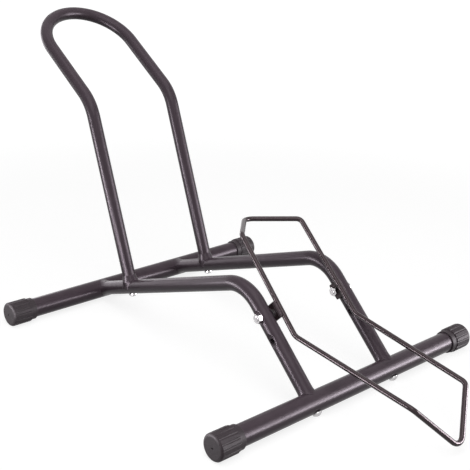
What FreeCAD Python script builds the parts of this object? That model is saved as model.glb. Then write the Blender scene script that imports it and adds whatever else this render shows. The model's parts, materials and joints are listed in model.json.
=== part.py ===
"""Floor bike rack: two capped cross tubes, two bent rails, a wheel hoop and a tilting wire cradle.

Millimetres, +Z up. The rack stands on Z = 0. The hoop is at the rear (+Y) and the wheel rolls in
from the front along +Y, so left is -X. The origin is on the floor under the middle of the whole box.
"""
import FreeCAD, Part
import math
import os

Vector = FreeCAD.Vector

# Cross tubes
cross_tube_diameter = 32.0
cross_tube_wall = 1.5
cross_tube_spacing = 517.0
overall_width = 546.0

# End caps
cap_across_flats = 40.0
cap_length = 45.0
cap_collar_diameter = 36.6
cap_collar_length = 10.0
cap_end_wall = 6.0
cap_edge_radius = 5.0
cap_shoulder_radius = 1.5
cap_mouth_chamfer = 1.0
cap_rib_count = 16
cap_groove_radius = 2.2
cap_groove_depth_at_end = 0.5
cap_groove_depth_at_collar = 1.6
cap_pip_diameter = 3.0
cap_pip_depth = 2.5

# Rails
rail_diameter = 24.0
rail_wall = 1.5
rail_spacing = 170.0
rail_rise_angle = 20.3
rail_fall_angle = 43.25
rail_bend_radius = 61.0

# Pressed pads and holes for the cradle pivot, measured along the rail from the front cross tube
pivot_station = 142.0
spare_hole_station = 103.5
pad_diameter = 17.0
outer_pad_depth = 1.8
inner_pad_depth = 1.1

# Wheel hoop
hoop_tube_diameter = 22.0
hoop_tube_wall = 1.5
hoop_foot_station = 94.0
hoop_leg_lean = 21.3
hoop_leg_length = 320.5
hoop_knee_radius = 75.0
hoop_top_lean = 57.3
hoop_top_straight = 138.0
hoop_foot_diameter = 27.2
hoop_flare_top = 21.0
hoop_flare_bottom = 10.0
hoop_ear_drop = 2.0
hoop_stake_height = 36.0
hoop_stake_diameter = 4.5
hoop_stake_depth = 1.0
hoop_stake_turn = 25.0

# Wire cradle
wire_diameter = 8.0
wire_above_pivot = 16.4
pivot_to_wire_bend = 46.8
wire_upper_run = 172.0
wire_upper_angle = 43.7
wire_lower_run = 214.4
wire_lower_angle = 7.1
wire_bend_splay = 0.8
wire_top_taper = 2.9
wire_front_taper = 6.7
wire_top_reach = 62.7
wire_top_droop_angle = 4.5
wire_front_reach = 75.7
wire_front_droop_angle = 55.0
wire_corner_radius = 12.0
wire_side_bend_radius = 17.0
wire_end_radius = 14.0

# Cradle brackets
bracket_thickness = 3.0
bracket_length = 26.0
bracket_drop = 6.6
bracket_corner_radius = 2.0
bracket_weld_overlap = 0.5

# Fasteners
bolt_diameter = 8.0
hole_clearance = 0.3
pivot_clearance = 0.08
side_clearance = 0.1
dome_head_diameter = 15.0
dome_head_height = 5.0
dome_head_rim = 1.2
dome_socket_across_flats = 5.0
dome_socket_depth = 3.0
hex_across_flats = 13.0
hex_chamfer = 0.8
nut_height = 6.5
pivot_bolt_length = 35.0
pivot_washer_diameter = 16.0
pivot_washer_thickness = 2.5
hoop_bolt_length = 50.0
rail_bolt_length = 50.0
bolt_tip_chamfer = 1.0
hoop_plug_set_back = 22.0
hoop_plug_length = 20.0
rail_plug_set_back = 18.0
rail_plug_length = 18.0

# Below this length, two places count as the same one.
same_place_within = 0.01

# Sizes that follow from the ones above
half_width = overall_width / 2
axis_height = cap_across_flats / 2
cross_tube_radius = cross_tube_diameter / 2
cross_tube_half_length = half_width - cap_end_wall
rail_radius = rail_diameter / 2
rail_half_spacing = rail_spacing / 2
hoop_tube_radius = hoop_tube_diameter / 2
wire_radius = wire_diameter / 2
bolt_radius = bolt_diameter / 2
hole_radius = bolt_radius + hole_clearance
outer_pad_x = rail_half_spacing + rail_radius - outer_pad_depth
inner_pad_x = rail_half_spacing - rail_radius + inner_pad_depth
bracket_outer_x = inner_pad_x - pivot_washer_thickness - side_clearance
bracket_inner_x = bracket_outer_x - bracket_thickness
wire_pivot_x = bracket_inner_x - wire_radius + bracket_weld_overlap
across = Vector(1, 0, 0)


def side_direction(angle, rearward):
    """Unit vector in the side view, raised by angle (degrees) above the level."""
    a = math.radians(angle)
    return Vector(0, rearward * math.cos(a), math.sin(a))


def at_x(point, x):
    return Vector(x, point.y, point.z)


# Side view, with the rear cross tube at y = 0
rear_axis = Vector(0, 0, axis_height)
front_axis = Vector(0, -cross_tube_spacing, axis_height)
rise = side_direction(rail_rise_angle, -1)
fall = side_direction(rail_fall_angle, 1)
corner_angle = math.radians(rail_rise_angle + rail_fall_angle)
rise_length = cross_tube_spacing * math.sin(math.radians(rail_fall_angle)) / math.sin(corner_angle)
rail_corner = rear_axis + rise * rise_length
pivot = front_axis + fall * pivot_station
spare_hole = front_axis + fall * spare_hole_station
hoop_foot = rear_axis + rise * hoop_foot_station
leg_up = side_direction(90 - hoop_leg_lean, 1)
top_up = side_direction(90 - hoop_top_lean, 1)
hoop_knee = hoop_foot + leg_up * hoop_leg_length
hoop_arc_centre = hoop_knee + top_up * hoop_top_straight
hoop_corner = hoop_arc_centre + top_up * rail_half_spacing


def bent_rod(points, radii, diameter, closed=False):
    """Solid rod along straight runs joined by tangent arcs.

    radii holds one bend radius for each inner point, or for every point of a closed loop.
    """
    count = len(points)
    bends = range(count) if closed else range(1, count - 1)
    radius_at = dict(zip(bends, radii))
    ends = {}
    arcs = []
    for i in bends:
        corner = points[i]
        back = (points[i - 1] - corner).normalize()
        ahead = (points[(i + 1) % count] - corner).normalize()
        half_turn = (math.pi - back.getAngle(ahead)) / 2
        setback = radius_at[i] * math.tan(half_turn)
        start = corner + back * setback
        ends[i] = (start, corner + ahead * setback)
        inward = (back + ahead).normalize()
        centre = corner + inward * (radius_at[i] / math.cos(half_turn))
        disc = round_face(start, back, diameter)
        turn_axis = ahead.cross(back)
        arcs.append(disc.revolve(centre, turn_axis, math.degrees(2 * half_turn)))
    runs = []
    for i in range(count if closed else count - 1):
        start = ends[i][1] if i in ends else points[i]
        j = (i + 1) % count
        end = ends[j][0] if j in ends else points[j]
        run = end - start
        if run.Length > same_place_within:
            runs.append(Part.makeCylinder(diameter / 2, run.Length, start, run))
    pieces = arcs + runs
    if len(pieces) == 1:
        return pieces[0]
    return pieces[0].multiFuse(pieces[1:]).removeSplitter()


def round_face(centre, normal, diameter):
    edge = Part.makeCircle(diameter / 2, centre, normal)
    return Part.Face(Part.Wire(edge))


def rod(start, direction, length, diameter):
    return Part.makeCylinder(diameter / 2, length, start, direction)


def bored(solid, start, direction, length, diameter):
    return solid.cut(rod(start, direction, length, diameter))


def mirrored(shape):
    return shape.mirror(Vector(0, 0, 0), across)


def left_and_right(shape):
    """One node of two separate solids: the right one as given, and its mirror image."""
    return Part.makeCompound([mirrored(shape), shape])


def revolved_about_x(profile):
    """Solid turned about the X axis from a closed outline of (x, radius) points."""
    corners = [Vector(x, 0, r) for x, r in profile]
    outline = Part.makePolygon(corners + corners[:1])
    return Part.Face(outline).revolve(Vector(0, 0, 0), across, 360)


def hex_prism(start, direction, across_flats, height):
    """Hexagonal prism with two flats facing +X and -X before it is turned."""
    corner_radius = across_flats / 2 / math.cos(math.pi / 6)
    corners = []
    for i in range(6):
        a = math.radians(30 + 60 * i)
        corners.append(Vector(corner_radius * math.cos(a), corner_radius * math.sin(a), 0))
    outline = Part.makePolygon(corners + corners[:1])
    prism = Part.Face(outline).extrude(Vector(0, 0, height))
    return placed(prism, start, direction)


def placed(shape, start, direction):
    """Move a shape built along +Z from the origin to start, pointing along direction."""
    turned = shape.copy()
    turned.Placement = FreeCAD.Placement(start, FreeCAD.Rotation(Vector(0, 0, 1), direction))
    return turned


# Cross tubes and their caps

def cross_tube(axis_point, bolt_direction):
    """A round tube across the rack, with a bolt hole through both walls at each rail."""
    start = at_x(axis_point, -cross_tube_half_length)
    length = 2 * cross_tube_half_length
    bore = cross_tube_diameter - 2 * cross_tube_wall
    tube = rod(start, across, length, cross_tube_diameter)
    tube = bored(tube, start, across, length, bore)
    for x in (-rail_half_spacing, rail_half_spacing):
        below = at_x(axis_point, x) - bolt_direction * cross_tube_diameter
        tube = bored(tube, below, bolt_direction, 2 * cross_tube_diameter, 2 * hole_radius)
    return tube


def end_cap():
    """Right-hand cap about the X axis: a ribbed barrel, a plain collar and a closed end."""
    rib_step = 2 * math.pi / cap_rib_count
    barrel_radius = cap_across_flats / 2 / math.cos(rib_step / 2)
    collar_radius = cap_collar_diameter / 2
    mouth_x = half_width - cap_length
    collar_end_x = mouth_x + cap_collar_length
    body = revolved_about_x([
        (mouth_x, 0), (mouth_x, collar_radius), (collar_end_x, collar_radius),
        (collar_end_x, barrel_radius), (half_width, barrel_radius), (half_width, 0)])

    # The end face is rounded over, and the mouth and the shoulder are eased.
    edge_of = {half_width: cap_edge_radius, collar_end_x: cap_shoulder_radius, mouth_x: cap_mouth_chamfer}
    for x, size in edge_of.items():
        rims = [e for e in body.Edges if is_rim(e, x, collar_radius if x == mouth_x else barrel_radius)]
        body = body.makeFillet(size, rims)

    # Flats between the grooves, one of them straight down.
    side = 2 * barrel_radius * math.sin(rib_step / 2)
    corners = []
    for i in range(cap_rib_count):
        a = rib_step * (i + 0.5)
        corners.append(Vector(mouth_x - side, barrel_radius * math.cos(a), barrel_radius * math.sin(a)))
    flats = Part.Face(Part.makePolygon(corners + corners[:1]))
    body = body.common(flats.extrude(Vector(cap_length + 2 * side, 0, 0)))

    # Grooves deepen towards the collar and run out of the shoulder.
    groove_length = cap_length - cap_collar_length
    end_radius = barrel_radius + cap_groove_radius - cap_groove_depth_at_end
    collar_side_radius = barrel_radius + cap_groove_radius - cap_groove_depth_at_collar
    cutters = []
    for i in range(cap_rib_count):
        a = rib_step * (i + 0.5)
        outward = Vector(0, math.cos(a), math.sin(a))
        outer = across * half_width + outward * end_radius
        inner = across * (half_width - groove_length) + outward * collar_side_radius
        run = inner - outer
        cutters.append(rod(outer - run * 0.1, run, run.Length * 1.2, 2 * cap_groove_radius))
    body = body.cut(Part.makeCompound(cutters))

    bore_length = cross_tube_half_length - mouth_x
    body = bored(body, across * mouth_x, across, bore_length, cross_tube_diameter)
    flare = Part.makeCone(cross_tube_radius + cap_mouth_chamfer / 2, cross_tube_radius,
                          cap_mouth_chamfer, across * mouth_x, across)
    body = body.cut(flare)
    pip_start = across * (half_width - cap_pip_depth)
    return bored(body, pip_start, across, cap_pip_depth, cap_pip_diameter)


def is_rim(edge, x, radius):
    """True for the full circle of this radius about the X axis at this x."""
    if not isinstance(edge.Curve, Part.Circle):
        return False
    same_place = abs(edge.Curve.Center.x - x) < same_place_within
    return same_place and abs(edge.Curve.Radius - radius) < same_place_within


# Rails

def rail():
    """Right-hand rail: bent tube, coped onto both cross tubes, pressed flat at the pivot holes."""
    path = [at_x(p, rail_half_spacing) for p in (rear_axis, rail_corner, front_axis)]
    outer = bent_rod(path, [rail_bend_radius], rail_diameter)
    inner = bent_rod(path, [rail_bend_radius], rail_diameter - 2 * rail_wall)
    for hole in (pivot, spare_hole):
        for pad_x, outward in ((outer_pad_x, 1), (inner_pad_x, -1)):
            press = across * outward
            face = at_x(hole, pad_x)
            outer = outer.cut(rod(face, press, rail_radius, pad_diameter))
            back_of_wall = face - press * rail_wall
            inner = inner.cut(rod(back_of_wall, press, rail_diameter, pad_diameter + 2 * rail_wall))
    tube = outer.cut(inner)
    for axis_point in (rear_axis, front_axis):
        start = at_x(axis_point, 0)
        tube = bored(tube, start, across, half_width, cross_tube_diameter)
    for hole in (pivot, spare_hole):
        tube = bored(tube, at_x(hole, 0), across, half_width, 2 * hole_radius)
    below_foot = at_x(hoop_foot, rail_half_spacing) - leg_up * rail_diameter
    tube = bored(tube, below_foot, leg_up, 2 * rail_diameter, 2 * hole_radius)
    return tube.removeSplitter()


# Wheel hoop

def hoop_centre_line():
    x = rail_half_spacing
    half = [hoop_foot, hoop_knee, hoop_corner]
    return [at_x(p, -x) for p in half] + [at_x(p, x) for p in reversed(half)]


def flared_feet(leg_diameter, foot_diameter):
    """Both of the hoop's feet as rods that widen to straddle the rails. Heights are from a rail's axis."""
    flare_length = hoop_flare_top - hoop_flare_bottom
    feet = []
    for x in (-rail_half_spacing, rail_half_spacing):
        foot = at_x(hoop_foot, x)
        ears = rod(foot - leg_up * hoop_ear_drop, leg_up, hoop_ear_drop + hoop_flare_bottom, foot_diameter)
        flare = Part.makeCone(foot_diameter / 2, leg_diameter / 2, flare_length,
                              foot + leg_up * hoop_flare_bottom, leg_up)
        feet += [ears, flare]
    return feet


def wheel_hoop():
    """One bent tube: two legs with flared feet that straddle the rails, and a half-round top."""
    line = hoop_centre_line()
    bends = [hoop_knee_radius, rail_half_spacing, rail_half_spacing, hoop_knee_radius]
    wall = 2 * hoop_tube_wall
    bore = hoop_tube_diameter - wall
    outer = bent_rod(line, bends, hoop_tube_diameter)
    outer = outer.multiFuse(flared_feet(hoop_tube_diameter, hoop_foot_diameter))
    inner = bent_rod(line, bends, bore)
    inner = inner.multiFuse(flared_feet(bore, hoop_foot_diameter - wall))
    tube = outer.cut(inner).removeSplitter()
    rail_run = [rear_axis, rail_corner]
    for side in (-1, 1):
        x = side * rail_half_spacing
        start = at_x(rail_run[0], x)
        tube = bored(tube, start, rise, rise_length, rail_diameter)
        # A punch mark on the front of the leg stakes the threaded plug in place.
        turn = math.radians(hoop_stake_turn)
        forward = leg_up.cross(across)
        outward = forward * math.cos(turn) + across * (side * math.sin(turn))
        mark = at_x(hoop_foot + leg_up * hoop_stake_height, x) + outward * hoop_tube_radius
        mark_radius = hoop_stake_diameter / 2
        sphere_radius = (mark_radius ** 2 + hoop_stake_depth ** 2) / (2 * hoop_stake_depth)
        centre = mark + outward * (sphere_radius - hoop_stake_depth)
        tube = tube.cut(Part.makeSphere(sphere_radius, centre))
    return tube


# Wire cradle: a closed loop, symmetric about the middle of the rack

wire_back = side_direction(wire_upper_angle, 1)
wire_normal = across.cross(wire_back)
wire_forward = side_direction(-wire_lower_angle, -1)
wire_bend = pivot + wire_normal * wire_above_pivot - wire_back * pivot_to_wire_bend
wire_top_corner = wire_bend + wire_back * wire_upper_run
wire_front_corner = wire_bend + wire_forward * wire_lower_run
wire_top_end = wire_top_corner + side_direction(-wire_top_droop_angle, 1) * wire_top_reach
wire_front_end = wire_front_corner + side_direction(-wire_front_droop_angle, -1) * wire_front_reach
wire_bend_x = wire_pivot_x + wire_bend_splay
wire_top_x = wire_bend_x - wire_top_taper
wire_front_x = wire_bend_x - wire_front_taper


def wire_cradle():
    one_side = [(wire_top_corner, wire_top_x), (wire_bend, wire_bend_x), (wire_front_corner, wire_front_x)]
    left = [at_x(p, -x) for p, x in one_side]
    right = [at_x(p, x) for p, x in reversed(one_side)]
    loop = [wire_top_end] + left + [wire_front_end] + right
    side_bends = [wire_corner_radius, wire_side_bend_radius, wire_corner_radius]
    radii = [wire_end_radius] + side_bends + [wire_end_radius] + side_bends
    return bent_rod(loop, radii, wire_diameter, closed=True)


def cradle_bracket(wire):
    """Right-hand plate: welded along the outer side of the wire, with the pivot hole below it."""
    half = bracket_length / 2
    corner = bracket_corner_radius
    plate = Part.makeBox(bracket_length, bracket_drop + wire_above_pivot, bracket_thickness)
    lower_edges = [e for e in plate.Edges if is_upright_at_zero(e)]
    plate = plate.makeFillet(corner, lower_edges)
    # The box's own X runs back along the wire, its Y up towards it and its Z outwards.
    start = pivot - wire_back * half - wire_normal * bracket_drop
    start.x = bracket_inner_x
    frame = FreeCAD.Matrix(wire_back.x, wire_normal.x, 1, start.x,
                           wire_back.y, wire_normal.y, 0, start.y,
                           wire_back.z, wire_normal.z, 0, start.z,
                           0, 0, 0, 1)
    plate = plate.transformGeometry(frame)
    plate = plate.cut(wire)
    bore_radius = bolt_radius + pivot_clearance
    return bored(plate, at_x(pivot, 0), across, half_width, 2 * bore_radius)


def is_upright_at_zero(edge):
    """True for the box edges along Z on the Y = 0 side."""
    ends = [v.Point for v in edge.Vertexes]
    along_z = abs(ends[0].z - ends[1].z) > same_place_within
    return along_z and all(abs(p.y) < same_place_within for p in ends)


# Fasteners

def bolt_shank(length):
    """A shank up from its head's seat at the origin, with a bevelled tip."""
    up = Vector(0, 0, 1)
    plain_length = length - bolt_tip_chamfer
    tip_radius = bolt_radius - bolt_tip_chamfer
    plain = rod(Vector(0, 0, 0), up, plain_length, bolt_diameter)
    return plain.fuse(Part.makeCone(bolt_radius, tip_radius, bolt_tip_chamfer, up * plain_length))


def dome_bolt(length):
    """Domed head with a hexagon socket below the origin, and its shank along +Z."""
    down = Vector(0, 0, -1)
    seat = Vector(0, 0, 0)
    head_radius = dome_head_diameter / 2
    dome_height = dome_head_height - dome_head_rim
    dome_radius = (head_radius ** 2 + dome_height ** 2) / (2 * dome_height)
    head = rod(seat, down, dome_head_height, dome_head_diameter)
    head = head.common(Part.makeSphere(dome_radius, down * (dome_head_height - dome_radius)))
    socket_floor = down * (dome_head_height - dome_socket_depth)
    socket = hex_prism(socket_floor, down, dome_socket_across_flats, dome_head_height)
    return head.cut(socket).fuse(bolt_shank(length))


def chamfered_hex(start, direction, height):
    """A hexagon whose far corners are turned off, as on a nut."""
    corner_radius = hex_across_flats / 2 / math.cos(math.pi / 6)
    turned = Part.makeCone(corner_radius + height - hex_chamfer, corner_radius - hex_chamfer, height)
    prism = hex_prism(Vector(0, 0, 0), Vector(0, 0, 1), hex_across_flats, height)
    return placed(prism.common(turned), start, direction)


def pivot_bolt(seat_x):
    """A bolt that goes in from the right and points to the left."""
    return placed(dome_bolt(pivot_bolt_length), at_x(pivot, seat_x), -across)


def pivot_nut(seat_x):
    """The nut on a pivot bolt's left end."""
    seat = at_x(pivot, seat_x)
    nut = chamfered_hex(seat, -across, nut_height)
    return bored(nut, seat, -across, nut_height, bolt_diameter)


def pivot_washer():
    start = at_x(pivot, inner_pad_x - pivot_washer_thickness)
    washer = rod(start, across, pivot_washer_thickness, pivot_washer_diameter)
    return bored(washer, start, across, pivot_washer_thickness, bolt_diameter)


def threaded_plug(start, direction, length, tube_bore):
    """A round plug fixed inside a tube's end, which the bolt screws into."""
    return bored(rod(start, direction, length, tube_bore), start, direction, length, bolt_diameter)


def rail_end(axis_point, direction):
    """Bolt and plug that hold the right-hand rail to a cross tube."""
    middle = at_x(axis_point, rail_half_spacing)
    bolt = placed(dome_bolt(rail_bolt_length), middle - direction * cross_tube_radius, direction)
    bore = rail_diameter - 2 * rail_wall
    plug = threaded_plug(middle + direction * rail_plug_set_back, direction, rail_plug_length, bore)
    return bolt, plug


def hoop_end():
    """Bolt and plug that hold the hoop's right leg to its rail.

    The leg isn't quite square to the rail, so one edge of the bolt's head touches first.
    """
    middle = at_x(hoop_foot, rail_half_spacing)
    off_square = math.radians(abs(hoop_leg_lean - rail_rise_angle))
    seat_depth = rail_radius / math.cos(off_square) + dome_head_diameter / 2 * math.tan(off_square)
    bolt = placed(dome_bolt(hoop_bolt_length), middle - leg_up * seat_depth, leg_up)
    bore = hoop_tube_diameter - 2 * hoop_tube_wall
    plug = threaded_plug(middle + leg_up * hoop_plug_set_back, leg_up, hoop_plug_length, bore)
    return bolt, plug


def build_nodes():
    nodes = {
        "rear_cross_tube": cross_tube(rear_axis, rise),
        "front_cross_tube": cross_tube(front_axis, fall),
        "wheel_hoop": wheel_hoop(),
        "wire_cradle": wire_cradle(),
    }
    cap = end_cap()
    for end, axis_point in (("rear", rear_axis), ("front", front_axis)):
        right_cap = cap.translated(axis_point)
        nodes[end + "_right_end_cap"] = right_cap
        nodes[end + "_left_end_cap"] = mirrored(right_cap)
    handed = {
        "rail": rail(),
        "cradle_bracket": cradle_bracket(nodes["wire_cradle"]),
        "pivot_washer": pivot_washer(),
    }
    for name, shape in handed.items():
        nodes["right_" + name] = shape
        nodes["left_" + name] = mirrored(shape)
    # Each pivot bolt runs from beside the bracket out through the rail, or the other way.
    bracket_seat_x = bracket_inner_x - side_clearance
    nodes["left_pivot_bolt"] = pivot_bolt(-bracket_seat_x)
    nodes["left_pivot_nut"] = pivot_nut(-outer_pad_x)
    nodes["right_pivot_bolt"] = pivot_bolt(outer_pad_x)
    nodes["right_pivot_nut"] = pivot_nut(bracket_seat_x)
    joints = {
        "rear_rail": rail_end(rear_axis, rise),
        "front_rail": rail_end(front_axis, fall),
        "hoop": hoop_end(),
    }
    for name, (bolt, plug) in joints.items():
        nodes[name + "_bolts"] = left_and_right(bolt)
        nodes[name + "_plugs"] = left_and_right(plug)
    return nodes


def middle_of_box(shapes):
    """The Y of the middle of the whole rack's box."""
    boxes = [shape.optimalBoundingBox(False, False) for shape in shapes]
    return (min(box.YMin for box in boxes) + max(box.YMax for box in boxes)) / 2


nodes = build_nodes()
to_origin = Vector(0, -middle_of_box(nodes.values()), 0)
os.makedirs("parts", exist_ok=True)
for name, shape in nodes.items():
    placed_shape = shape.translated(to_origin)
    if not placed_shape.isValid():
        raise ValueError(name + " is not a valid solid")
    placed_shape.exportStep(os.path.join("parts", name + ".step"))

pivot_at = pivot + to_origin
print("pivot y, z:", round(pivot_at.y, 3), round(pivot_at.z, 3))
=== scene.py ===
"""Floor bike rack: finishes, pressed rails, weld beads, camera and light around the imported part.

Metres, in the part's own frame: +Z up, the hoop at the rear (+Y), left is -X.
"""

import json
import math

import bmesh
import bpy
from mathutils import Matrix, Vector

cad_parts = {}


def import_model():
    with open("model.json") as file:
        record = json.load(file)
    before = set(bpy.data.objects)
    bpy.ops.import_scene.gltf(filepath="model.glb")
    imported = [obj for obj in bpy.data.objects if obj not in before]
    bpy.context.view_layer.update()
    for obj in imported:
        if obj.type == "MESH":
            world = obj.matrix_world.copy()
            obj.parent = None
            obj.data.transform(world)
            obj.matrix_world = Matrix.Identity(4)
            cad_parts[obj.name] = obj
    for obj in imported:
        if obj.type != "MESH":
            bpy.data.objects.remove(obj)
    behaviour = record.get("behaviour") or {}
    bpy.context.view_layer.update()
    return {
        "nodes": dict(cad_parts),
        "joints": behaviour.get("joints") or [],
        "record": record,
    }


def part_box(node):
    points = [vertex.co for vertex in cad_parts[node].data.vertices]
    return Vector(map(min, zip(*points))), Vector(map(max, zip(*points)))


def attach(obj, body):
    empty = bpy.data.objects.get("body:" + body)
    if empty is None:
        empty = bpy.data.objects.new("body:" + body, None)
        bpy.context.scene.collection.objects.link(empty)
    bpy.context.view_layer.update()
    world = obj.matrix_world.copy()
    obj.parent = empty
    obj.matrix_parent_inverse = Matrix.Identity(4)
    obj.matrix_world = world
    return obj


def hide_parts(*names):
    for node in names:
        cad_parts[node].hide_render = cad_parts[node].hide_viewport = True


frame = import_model()

MM = 0.001
ACROSS = Vector((1, 0, 0))


def middle(node):
    lowest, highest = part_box(node)
    return (lowest + highest) / 2


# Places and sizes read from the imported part
rear_axis = middle("rear_cross_tube")
front_axis = middle("front_cross_tube")
pivot = Vector(frame["joints"][0]["pos_m"])
cross_tube_radius = front_axis.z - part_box("front_cross_tube")[0].z
rail_x = middle("right_rail").x
rail_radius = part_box("right_rail")[1].x - rail_x
bracket_inner_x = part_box("right_cradle_bracket")[0].x
bracket_outer_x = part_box("right_cradle_bracket")[1].x
pivot_station = (pivot - front_axis).length

# Sizes of the rails, as in the part's own source.
# Stations are measured along a rail, from the axis of the nearer cross tube.
rail_wall = 1.5 * MM
rail_rise_angle = math.radians(20.3)
rail_fall_angle = math.radians(43.25)
rail_bend_radius = 61 * MM
spare_hole_station = 103.5 * MM
pad_radius = 8.5 * MM
outer_pad_depth = 1.8 * MM
inner_pad_depth = 1.1 * MM
bolt_radius = 4 * MM
hole_radius = bolt_radius + 0.3 * MM
hoop_foot_station = 94 * MM
hoop_leg_lean = math.radians(21.3)

# Sizes of the wire beside the pivot, as in the part's own source
wire_above_pivot = 16.4 * MM
wire_slope = math.radians(43.7)
bracket_length = 26 * MM


def side_direction(angle, rearward):
    """Unit vector in the side view, raised by angle above the level. rearward is 1 or -1."""
    return Vector((0, rearward * math.cos(angle), math.sin(angle)))


def at_x(point, x):
    return Vector((x, point.y, point.z))


def smoothstep(low, high, value):
    t = min(max((value - low) / (high - low), 0), 1)
    return t * t * (3 - 2 * t)


def smooth_minimum(a, b, width):
    """The smaller of a and b, rounded where they come within width of each other."""
    share = min(max(0.5 + 0.5 * (b - a) / width, 0), 1)
    return b + (a - b) * share - width * share * (1 - share)


# Materials

# The part of a noise's range that is spread over a material's values. What lies outside it is clamped.
noise_low = 0.3
noise_high = 0.7

# Depths of the bumps
paint_wave_depth = 0.012 * MM
paint_peel_depth = 0.002 * MM
rubber_grain_depth = 0.05 * MM
rubber_ripple_depth = 0.08 * MM
zinc_mark_depth = 0.02 * MM
thread_depth = 0.3 * MM

thread_length = 22 * MM
thread_pitch = 1.25 * MM


def new_material(name):
    """An empty node material, its node tree's add and link helpers, and its shader."""
    material = bpy.data.materials.new(name)
    material.use_nodes = True
    tree = material.node_tree
    shader = tree.nodes["Principled BSDF"]

    def add(kind, **inputs):
        node = tree.nodes.new(kind)
        for key, value in inputs.items():
            node.inputs[key.replace("_", " ")].default_value = value
        return node

    return material, add, tree.links.new, shader


def noise(add, link, scale, detail):
    """Noise in the piece's own coordinates, so that it moves with the piece."""
    place = add("ShaderNodeTexCoord")
    texture = add("ShaderNodeTexNoise", Scale=scale, Detail=detail)
    link(place.outputs["Object"], texture.inputs["Vector"])
    return texture.outputs["Fac"]


def between(add, link, factor, low, high):
    """A noise factor as a value from low to high."""
    spread = add("ShaderNodeMapRange", From_Min=noise_low, From_Max=noise_high, To_Min=low, To_Max=high)
    link(factor, spread.inputs["Value"])
    return spread.outputs["Result"]


def two_colours(add, link, factor, first, second):
    """A noise factor as a colour from first to second."""
    ramp = add("ShaderNodeValToRGB")
    ends = ramp.color_ramp.elements
    for end, position, colour in zip(ends, (noise_low, noise_high), (first, second)):
        end.position = position
        end.color = (*colour, 1)
    link(factor, ramp.inputs["Fac"])
    return ramp.outputs["Color"]


def bumps(add, link, shader, heights):
    """Chain of bumps from (height socket, depth in metres) pairs."""
    normal = None
    for height, depth in heights:
        bump = add("ShaderNodeBump", Strength=1.0, Distance=depth)
        link(height, bump.inputs["Height"])
        if normal:
            link(normal, bump.inputs["Normal"])
        normal = bump.outputs["Normal"]
    link(normal, shader.inputs["Normal"])


def baked_paint(name, dark, light, roughness, ior=1.25, tint=(1.0, 0.92, 0.99)):
    """Glossy baked paint with a faint orange peel and slightly uneven gloss. tint colours its gloss."""
    material, add, link, shader = new_material(name)
    clouds = noise(add, link, scale=38, detail=4)
    link(two_colours(add, link, clouds, dark, light), shader.inputs["Base Color"])
    streaks = noise(add, link, scale=160, detail=5)
    link(between(add, link, streaks, roughness * 0.9, roughness * 1.12), shader.inputs["Roughness"])
    shader.inputs["IOR"].default_value = ior
    shader.inputs["Specular Tint"].default_value = (*tint, 1)
    waves = noise(add, link, scale=60, detail=1)
    peel = noise(add, link, scale=380, detail=1)
    bumps(add, link, shader, [(waves, paint_wave_depth), (peel, paint_peel_depth)])
    return material


def moulded_rubber(name, dark, light, smoothest, roughest):
    """Moulded rubber: matt, with a fine eroded grain."""
    material, add, link, shader = new_material(name)
    clouds = noise(add, link, scale=60, detail=5)
    link(two_colours(add, link, clouds, dark, light), shader.inputs["Base Color"])
    grain = noise(add, link, scale=1700, detail=3)
    link(between(add, link, grain, smoothest, roughest), shader.inputs["Roughness"])
    shader.inputs["IOR"].default_value = 1.3
    ripple = noise(add, link, scale=240, detail=2)
    bumps(add, link, shader, [(grain, rubber_grain_depth), (ripple, rubber_ripple_depth)])
    return material


def zinc(name, dark, light, roughness):
    """Zinc plating or bare steel with a faint cloudy tone and fine machining marks."""
    material, add, link, shader = new_material(name)
    clouds = noise(add, link, scale=220, detail=4)
    link(two_colours(add, link, clouds, dark, light), shader.inputs["Base Color"])
    shader.inputs["Metallic"].default_value = 1.0
    marks = noise(add, link, scale=900, detail=4)
    link(between(add, link, marks, roughness * 0.7, roughness * 1.35), shader.inputs["Roughness"])
    bumps(add, link, shader, [(marks, zinc_mark_depth)])
    return material


def threaded(material, tip_x):
    """Ridges across the X axis near tip_x, which stand for a thread on a bolt that lies along X."""
    tree = material.node_tree
    shader = tree.nodes["Principled BSDF"]

    def math_node(operation, first, second):
        node = tree.nodes.new("ShaderNodeMath")
        node.operation = operation
        for place, value in zip(node.inputs, (first, second)):
            if isinstance(value, float):
                place.default_value = value
            else:
                tree.links.new(value, place)
        return node.outputs["Value"]

    place = tree.nodes.new("ShaderNodeTexCoord")
    parts = tree.nodes.new("ShaderNodeSeparateXYZ")
    tree.links.new(place.outputs["Object"], parts.inputs["Vector"])
    x = parts.outputs["X"]
    ridges = math_node("SINE", math_node("MULTIPLY", x, 2 * math.pi / thread_pitch), 0.0)
    from_tip = math_node("ABSOLUTE", math_node("SUBTRACT", x, tip_x), 0.0)
    near_tip = math_node("LESS_THAN", from_tip, thread_length)
    bump = tree.nodes.new("ShaderNodeBump")
    bump.inputs["Distance"].default_value = thread_depth
    tree.links.new(math_node("MULTIPLY", ridges, near_tip), bump.inputs["Height"])
    tree.links.new(shader.inputs["Normal"].links[0].from_socket, bump.inputs["Normal"])
    tree.links.new(bump.outputs["Normal"], shader.inputs["Normal"])
    return material


bright_zinc = {"dark": (0.40, 0.39, 0.40), "light": (0.56, 0.55, 0.55), "roughness": 0.22}

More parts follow.
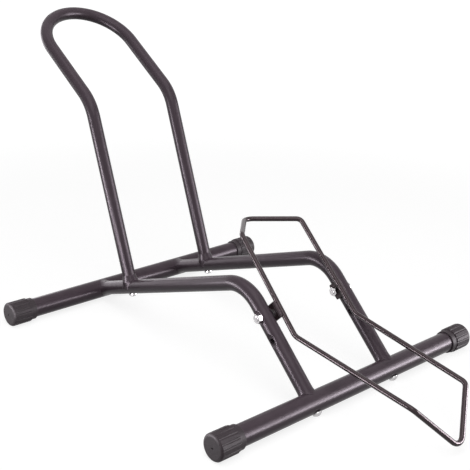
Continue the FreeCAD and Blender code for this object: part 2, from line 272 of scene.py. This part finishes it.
finishes = {
    "tube_paint": baked_paint("tube_paint", dark=(0.068, 0.049, 0.061), light=(0.082, 0.060, 0.074),
                              roughness=0.31),
    "wire_paint": baked_paint("wire_paint", dark=(0.042, 0.028, 0.032), light=(0.053, 0.036, 0.041),
                              roughness=0.18, ior=1.37, tint=(1.0, 0.86, 0.90)),
    # The beads' paint is lighter than the tubes' same paint: a painted highlight along the beads
    "weld": baked_paint("weld_paint_painted_highlight", dark=(0.105, 0.080, 0.090), light=(0.130, 0.100, 0.112),
                        roughness=0.30),
    "cap": moulded_rubber("moulded_rubber", dark=(0.036, 0.026, 0.031), light=(0.052, 0.039, 0.046),
                          smoothest=0.48, roughest=0.66),
    "bolt_zinc": zinc("bolt_zinc", **bright_zinc),
    "washer_zinc": zinc("washer_zinc", dark=(0.38, 0.38, 0.39), light=(0.52, 0.52, 0.52), roughness=0.32),
    "plug_steel": zinc("plug_steel", dark=(0.36, 0.35, 0.34), light=(0.50, 0.49, 0.47), roughness=0.42),
}


def finish_cad_nodes():
    """Each node of the part takes the finish of its slot. The pivot bolts' ends get a thread."""
    for row in frame["record"]["subparts"]:
        name = row["node"]
        finish = finishes[row["material_slot"]]
        if name.endswith("pivot_bolt"):
            finish = threaded(zinc(name + "_zinc", **bright_zinc), tip_x=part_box(name)[0].x)
        for place in frame["nodes"][name].material_slots:
            place.material = finish


def new_piece(name, mesh, body, finish, sharp_degrees):
    """A piece with its finish that rides on a body, smooth but for edges sharper than sharp_degrees."""
    mesh.materials.append(finishes[finish])
    for polygon in mesh.polygons:
        polygon.use_smooth = True
    mesh.set_sharp_from_angle(angle=math.radians(sharp_degrees))
    piece = bpy.data.objects.new(name, mesh)
    bpy.context.scene.collection.objects.link(piece)
    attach(piece, body)
    return piece


def closed_grid(name, rows, wrap_rows):
    """Mesh over rows of points, each row a ring. It joins the last row to the first, or closes both."""
    mesh = bpy.data.meshes.new(name)
    count = len(rows[0])
    points = [point for row in rows for point in row]
    faces = []
    for i in range(len(rows) if wrap_rows else len(rows) - 1):
        here = i * count
        ahead = (i + 1) % len(rows) * count
        for j in range(count):
            k = (j + 1) % count
            faces.append((here + j, here + k, ahead + k, ahead + j))
    if not wrap_rows:
        faces.append(tuple(reversed(range(count))))
        last = (len(rows) - 1) * count
        faces.append(tuple(range(last, last + count)))
    mesh.from_pydata(points, [], faces)
    return mesh


def faces_out(mesh):
    """Turn all faces of a closed mesh outwards."""
    work = bmesh.new()
    work.from_mesh(mesh)
    bmesh.ops.recalc_face_normals(work, faces=work.faces)
    work.to_mesh(mesh)
    work.free()


# Rails: bent tubes with pressed pads, coped onto the cross tubes

rise = side_direction(rail_rise_angle, -1)
fall = side_direction(rail_fall_angle, 1)
spacing = rear_axis.y - front_axis.y
corner_turn = rail_rise_angle + rail_fall_angle
rise_length = spacing * math.sin(rail_fall_angle) / math.sin(corner_turn)
fall_length = spacing * math.sin(rail_rise_angle) / math.sin(corner_turn)
bend_setback = rail_bend_radius * math.tan(corner_turn / 2)
rail_corner = rear_axis + rise * rise_length

ring_count = 96
arc_ring_count = 24
hole_segments = 64

# The press leaves a flat inside pad_flat_radius, and a ramp that ends pad_ramp outside pad_radius
pad_ring_step = 0.7 * MM
pad_reach = 17 * MM
pad_flat_radius = pad_radius - 2 * MM
pad_ramp = 5.5 * MM
pad_ramp_rise = 1 * MM
pad_rounding = 0.9 * MM

# The ends flare where they are crushed onto the cross tubes
rim_rounding = 0.35 * MM
cope_clear = 40 * MM
front_flare = 1.6 * MM
front_flare_reach = 9 * MM
rear_flare = 3 * MM
rear_flare_reach = 14 * MM
side_flare_share = 0.45
flare_steps = 8


def rail_line():
    """(station from the front, centre, up-side normal) along one rail, in the side view."""
    stations = [cope_clear]
    for centre in (spare_hole_station, pivot_station):
        steps = round(2 * pad_reach / pad_ring_step)
        for i in range(steps + 1):
            station = centre - pad_reach + i * pad_ring_step
            if station > stations[-1]:
                stations.append(station)
    normal = Vector((0, -fall.z, fall.y))
    line = [(s, front_axis + fall * s, normal) for s in stations]

    arc_start = rail_corner - fall * bend_setback
    arc_centre = arc_start - normal * rail_bend_radius
    first_angle = math.atan2(normal.z, normal.y)
    station = fall_length - bend_setback
    for i in range(arc_ring_count + 1):
        turn = corner_turn * i / arc_ring_count
        outward = Vector((0, math.cos(first_angle - turn), math.sin(first_angle - turn)))
        centre = arc_centre + outward * rail_bend_radius
        line.append((station + turn * rail_bend_radius, centre, outward))

    end = station + corner_turn * rail_bend_radius + rise_length - bend_setback
    last_normal = line[-1][2]
    line.append((end - cope_clear, rear_axis + rise * cope_clear, last_normal))
    return line


def pad_limit(depth, along, aside):
    """How far the rail reaches sideways over a pad, at a place along and aside from its middle."""
    reach = math.hypot(along, aside)
    ramp = smoothstep(pad_flat_radius, pad_radius + pad_ramp, reach)
    return rail_radius - depth + (depth + pad_ramp_rise) * ramp


def rail_ring(side, station, centre, normal, wall_inset):
    """Ring of points round the rail, flattened over the pads. wall_inset is 0 on the outer face."""
    radius = rail_radius - wall_inset
    ring = []
    for i in range(ring_count):
        a = 2 * math.pi * i / ring_count
        sideways = radius * math.cos(a)
        up = radius * math.sin(a)
        depth = outer_pad_depth if sideways > 0 else inner_pad_depth
        reach = abs(sideways)
        for hole in (spare_hole_station, pivot_station):
            if abs(station - hole) < pad_reach:
                limit = pad_limit(depth, station - hole, up) - wall_inset
                reach = smooth_minimum(reach, limit, pad_rounding)
        x = side * (rail_x + math.copysign(reach, sideways))
        ring.append(at_x(centre + normal * up, x))
    return ring


def cope_ring(side, axis_point, direction, normal, radius, set_back, flare):
    """Ring where the rail meets a cross tube, wider by flare above and below, and less at its sides."""
    ring = []
    for i in range(ring_count):
        a = 2 * math.pi * i / ring_count
        up = (radius + flare) * math.sin(a)
        station = math.sqrt(cross_tube_radius ** 2 - up ** 2) + set_back
        point = axis_point + direction * station + normal * up
        sideways = (radius + side_flare_share * flare) * math.cos(a)
        ring.append(at_x(point, side * (rail_x + sideways)))
    return ring


def cope_rings(side, axis_point, direction, normal, flare, reach):
    """Rings from the inner rim of a rail's end, over the rim, to where the flare ends at reach."""
    sizes = [(rail_radius - rail_wall, 0, flare),
             (rail_radius - rim_rounding, 0, flare),
             (rail_radius, rim_rounding, flare)]
    for step in range(1, flare_steps):
        share = step / flare_steps
        sizes.append((rail_radius, share * reach, (1 - share) ** 2 * flare))
    return [cope_ring(side, axis_point, direction, normal, *size) for size in sizes]


def rail_rows(side):
    """All rings of a rail: its front end, outer face, rear end and inner face."""
    line = rail_line()
    outer = [rail_ring(side, *place, wall_inset=0) for place in line]
    inner = [rail_ring(side, *place, wall_inset=rail_wall) for place in line]
    front = cope_rings(side, front_axis, fall, line[0][2], front_flare, front_flare_reach)
    rear = cope_rings(side, rear_axis, rise, line[-1][2], rear_flare, rear_flare_reach)
    return front + outer + rear[::-1] + inner[::-1]


def drill(mesh, holes, length, radius):
    """Cut round holes, each at (point, direction), out of a mesh."""
    target = bpy.data.objects.new("drilled", mesh)
    bpy.context.scene.collection.objects.link(target)
    cutters = []
    for point, direction in holes:
        work = bmesh.new()
        bmesh.ops.create_cone(work, cap_ends=True, segments=hole_segments,
                              radius1=radius, radius2=radius, depth=length)
        turn = direction.to_track_quat("Z", "Y").to_matrix().to_4x4()
        bmesh.ops.transform(work, matrix=Matrix.Translation(point) @ turn, verts=work.verts)
        cutter_mesh = bpy.data.meshes.new("cutter")
        work.to_mesh(cutter_mesh)
        work.free()
        cutter = bpy.data.objects.new("cutter", cutter_mesh)
        bpy.context.scene.collection.objects.link(cutter)
        cutters.append(cutter)
        cut = target.modifiers.new("hole", "BOOLEAN")
        cut.operation = "DIFFERENCE"
        cut.solver = "EXACT"
        cut.object = cutter
    bpy.context.view_layer.update()
    evaluated = target.evaluated_get(bpy.context.evaluated_depsgraph_get())
    drilled = bpy.data.meshes.new_from_object(evaluated)
    for used in cutters + [target]:
        bpy.data.objects.remove(used)
    return drilled


def rail_skin(name, side):
    """The rail as it is pressed: soft-edged pads instead of the part's plain flats."""
    mesh = closed_grid(name, rail_rows(side), wrap_rows=True)
    faces_out(mesh)
    holes = [(at_x(front_axis + fall * station, side * rail_x), ACROSS)
             for station in (spare_hole_station, pivot_station)]
    foot = at_x(rear_axis + rise * hoop_foot_station, side * rail_x)
    leg_up = side_direction(math.pi / 2 - hoop_leg_lean, 1)
    holes.append((foot, leg_up))
    mesh = drill(mesh, holes, length=4 * rail_radius, radius=hole_radius)
    return new_piece(name, mesh, "stand", "tube_paint", sharp_degrees=35)


# Weld beads between the wire and its brackets, in paint lighter than the tubes': a painted highlight

bead_ring_count = 14
bead_step = 0.5 * MM
bead_pitch = 1.9 * MM
bead_end_power = 6
bead_least_share = 0.02
ripple_share = 0.16
wander_share = 0.05
wander_per_metre = 2100

# inset is from the bracket's face to the bead's middle, drop from the wire's centre down to it
outer_bead = {"inset": 1.4 * MM, "drop": 1.4 * MM, "half_width": 2.3 * MM, "half_height": 3.6 * MM}
inner_bead = {"inset": 0.8 * MM, "drop": 3.3 * MM, "half_width": 1.5 * MM, "half_height": 1.5 * MM}


def weld_bead(name, side, face_x, inset, drop, half_width, half_height):
    """A bead of overlapping ripples along the wire, as long as the bracket."""
    along = side_direction(wire_slope, 1)
    up = ACROSS.cross(along)
    start = pivot + up * (wire_above_pivot - drop)
    steps = round(bracket_length / bead_step)
    rows = []
    for i in range(steps + 1):
        station = i * bead_step - bracket_length / 2
        end_taper = math.sqrt(max(bead_least_share, 1 - abs(2 * i / steps - 1) ** bead_end_power))
        ripple = ripple_share * abs(math.sin(math.pi * station / bead_pitch))
        wander = wander_share * math.sin(station * wander_per_metre)
        size = (1 + ripple + wander) * end_taper
        row = []
        for j in range(bead_ring_count):
            a = 2 * math.pi * j / bead_ring_count
            point = start + along * station + up * (size * half_height * math.sin(a))
            row.append(at_x(point, side * (face_x - inset + size * half_width * math.cos(a))))
        rows.append(row)
    mesh = closed_grid(name, rows, wrap_rows=False)
    faces_out(mesh)
    # The bead's paint is lighter than the tubes': a painted highlight
    return new_piece(name, mesh, "cradle", "weld", sharp_degrees=60)


# Stage, light and camera

white = (1.0, 1.0, 1.0)
lilac = (1.0, 0.95, 1.0)

# How pale the floor and the world are where they light things, and where they are looked at
floor_reach = 30
floor_unseen = 0.04
floor_seen = 0.28
world_unseen = 0.22
world_seen = 1.0

# The floor's own glow, near the rack and far from it
near_glow = 0.83
far_glow = 1.0
near_distance = 0.8
far_distance = 2.2


def seen_rays(tree):
    """1 on rays from the camera, from gloss and through glass, which show the pale background."""
    rays = tree.nodes.new("ShaderNodeLightPath")
    seen = rays.outputs["Is Camera Ray"]
    for kind in ("Is Glossy Ray", "Is Transmission Ray"):
        either = tree.nodes.new("ShaderNodeMath")
        either.operation = "MAXIMUM"
        tree.links.new(seen, either.inputs[0])
        tree.links.new(rays.outputs[kind], either.inputs[1])
        seen = either.outputs["Value"]
    return seen


def between_rays(tree, seen, unseen_value, seen_value):
    """unseen_value for the light that falls on things, seen_value for what is looked at."""
    spread = tree.nodes.new("ShaderNodeMapRange")
    spread.inputs["To Min"].default_value = unseen_value
    spread.inputs["To Max"].default_value = seen_value
    tree.links.new(seen, spread.inputs["Value"])
    return spread.outputs["Result"]


def floor_glow(add, link, seen):
    """Glow of the floor on the rays that look at it, stronger away from the rack."""
    place = add("ShaderNodeTexCoord")
    distance = add("ShaderNodeVectorMath")
    distance.operation = "LENGTH"
    link(place.outputs["Object"], distance.inputs[0])
    paler = add("ShaderNodeMapRange", From_Min=near_distance, From_Max=far_distance,
                To_Min=near_glow, To_Max=far_glow)
    paler.interpolation_type = "SMOOTHSTEP"
    link(distance.outputs["Value"], paler.inputs["Value"])
    glow = add("ShaderNodeMath")
    glow.operation = "MULTIPLY"
    link(seen, glow.inputs[0])
    link(paler.outputs["Result"], glow.inputs[1])
    return glow.outputs["Value"]


def stage():
    """A plain pale floor, which keeps the rack's shadow and grows white away from it."""
    mesh = bpy.data.meshes.new("floor")
    corners = [(-floor_reach, -floor_reach, 0), (floor_reach, -floor_reach, 0),
               (floor_reach, floor_reach, 0), (-floor_reach, floor_reach, 0)]
    mesh.from_pydata(corners, [], [(0, 1, 2, 3)])
    floor = bpy.data.objects.new("floor", mesh)
    bpy.context.scene.collection.objects.link(floor)
    material, add, link, shader = new_material("pale_floor")
    shader.inputs["Roughness"].default_value = 0.9
    shader.inputs["Specular IOR Level"].default_value = 0.0
    shader.inputs["Emission Color"].default_value = (*white, 1)
    seen = seen_rays(material.node_tree)
    link(between_rays(material.node_tree, seen, floor_unseen, floor_seen), shader.inputs["Base Color"])
    link(floor_glow(add, link, seen), shader.inputs["Emission Strength"])
    mesh.materials.append(material)


def world():
    background = bpy.data.worlds.new("pale_world")
    bpy.context.scene.world = background
    background.use_nodes = True
    tree = background.node_tree
    sky = tree.nodes["Background"]
    tree.links.new(between_rays(tree, seen_rays(tree), world_unseen, world_seen), sky.inputs["Strength"])
    sky.inputs["Color"].default_value = (*white, 1)


def softbox(name, place, aim, size, strength, colour=white, glossy_only=False, lit_pieces=()):
    """Area lamp at a place, facing aim. It lights lit_pieces, or everything.

    strength is how bright its face looks.
    """
    lamp = bpy.data.lights.new(name, "AREA")
    lamp.shape = "RECTANGLE"
    lamp.size, lamp.size_y = size
    lamp.energy = strength * math.pi * size[0] * size[1]
    lamp.color = colour
    holder = bpy.data.objects.new(name, lamp)
    holder.location = place
    holder.rotation_euler = (Vector(aim) - Vector(place)).to_track_quat("-Z", "Y").to_euler()
    holder.visible_diffuse = not glossy_only
    if lit_pieces:
        receivers = bpy.data.collections.new(name + "_receivers")
        for piece in lit_pieces:
            receivers.objects.link(piece)
        holder.light_linking.receiver_collection = receivers
    bpy.context.scene.collection.objects.link(holder)


def gloss_lamp(name, place, aim, size, strength, lit_pieces=()):
    """A lamp that shows in gloss, and lights nothing by diffuse light."""
    softbox(name, place, aim, size, strength, colour=lilac, glossy_only=True, lit_pieces=lit_pieces)


def around(azimuth, distance, height, aim_height):
    """A place beside the rack, and the point over its middle that a lamp there faces.

    Azimuth 0 is +Y, 90 is +X.
    """
    a = math.radians(azimuth)
    return (distance * math.sin(a), distance * math.cos(a), height), (0, 0, aim_height)


def at_left(distance, rearward, height):
    """A place at the left of the rack, and the point level with it over the rack's middle line."""
    return (-distance, rearward, height), (0, rearward, height)


def lights(lit_from_left):
    """Soft light from above and the front, and gloss lamps. Those at the left light lit_from_left."""
    softbox("top_softbox", (-0.3, -0.3, 2.2), (0, 0, 0.1), size=(1.8, 1.8), strength=1.8)
    softbox("front_softbox", *around(azimuth=218, distance=1.8, height=2.1, aim_height=0.15),
            size=(1.6, 1.3), strength=2.6)
    gloss_lamp("right_gloss", *around(azimuth=141, distance=2.0, height=0.22, aim_height=0.22),
               size=(1.2, 0.40), strength=40.0)
    gloss_lamp("right_band", *around(azimuth=137, distance=2.2, height=0.75, aim_height=0.75),
               size=(1.8, 0.70), strength=11.0)
    gloss_lamp("rear_gloss", *around(azimuth=-6, distance=1.7, height=0.37, aim_height=0.37),
               size=(1.7, 0.66), strength=2.9)
    gloss_lamp("left_gloss", *at_left(distance=0.6, rearward=0.41, height=0.18),
               size=(0.22, 0.24), strength=38.0, lit_pieces=lit_from_left)
    gloss_lamp("left_low_gloss", *at_left(distance=0.6, rearward=0.01, height=0.09),
               size=(0.42, 0.16), strength=30.0, lit_pieces=lit_from_left)


def camera():
    """The photograph's view: its place, its turn and its lens."""
    place = (-1.00524, -1.08630, 0.71986)
    yaw = math.radians(43.03)
    pitch = math.radians(20.21)
    roll = math.radians(-2.33)
    frame_pixels = 470
    lens_pixels = 974.57
    centre_pixels = (235.57, 235.06)
    far_clip = 200

    data = bpy.data.cameras.new("camera")
    data.lens = lens_pixels / frame_pixels * data.sensor_width
    data.shift_x = (frame_pixels / 2 - centre_pixels[0]) / frame_pixels
    data.shift_y = (centre_pixels[1] - frame_pixels / 2) / frame_pixels
    data.clip_end = far_clip
    flat = math.cos(pitch)
    forward = Vector((math.sin(yaw) * flat, math.cos(yaw) * flat, -math.sin(pitch)))
    level = forward.cross(Vector((0, 0, 1))).normalized()
    down = forward.cross(level)
    right = level * math.cos(roll) + down * math.sin(roll)
    up = right.cross(forward)
    turn = Matrix((right, up, -forward)).transposed().to_4x4()
    holder = bpy.data.objects.new("camera", data)
    holder.matrix_world = Matrix.Translation(place) @ turn
    bpy.context.scene.collection.objects.link(holder)
    bpy.context.scene.camera = holder


finish_cad_nodes()
lit_from_left = [node for name, node in frame["nodes"].items() if not name.endswith("cross_tube")]
for rail_name, rail_side in (("left", -1), ("right", 1)):
    skin = rail_skin(rail_name + "_rail_tube", rail_side)
    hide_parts(rail_name + "_rail")
    lit_from_left.append(skin)
    weld_bead(rail_name + "_outer_weld", rail_side, bracket_outer_x, **outer_bead)
    weld_bead(rail_name + "_inner_weld", rail_side, bracket_inner_x, **inner_bead)

stage()
world()
lights(lit_from_left)
camera()
bpy.context.scene.view_settings.view_transform = "Standard"
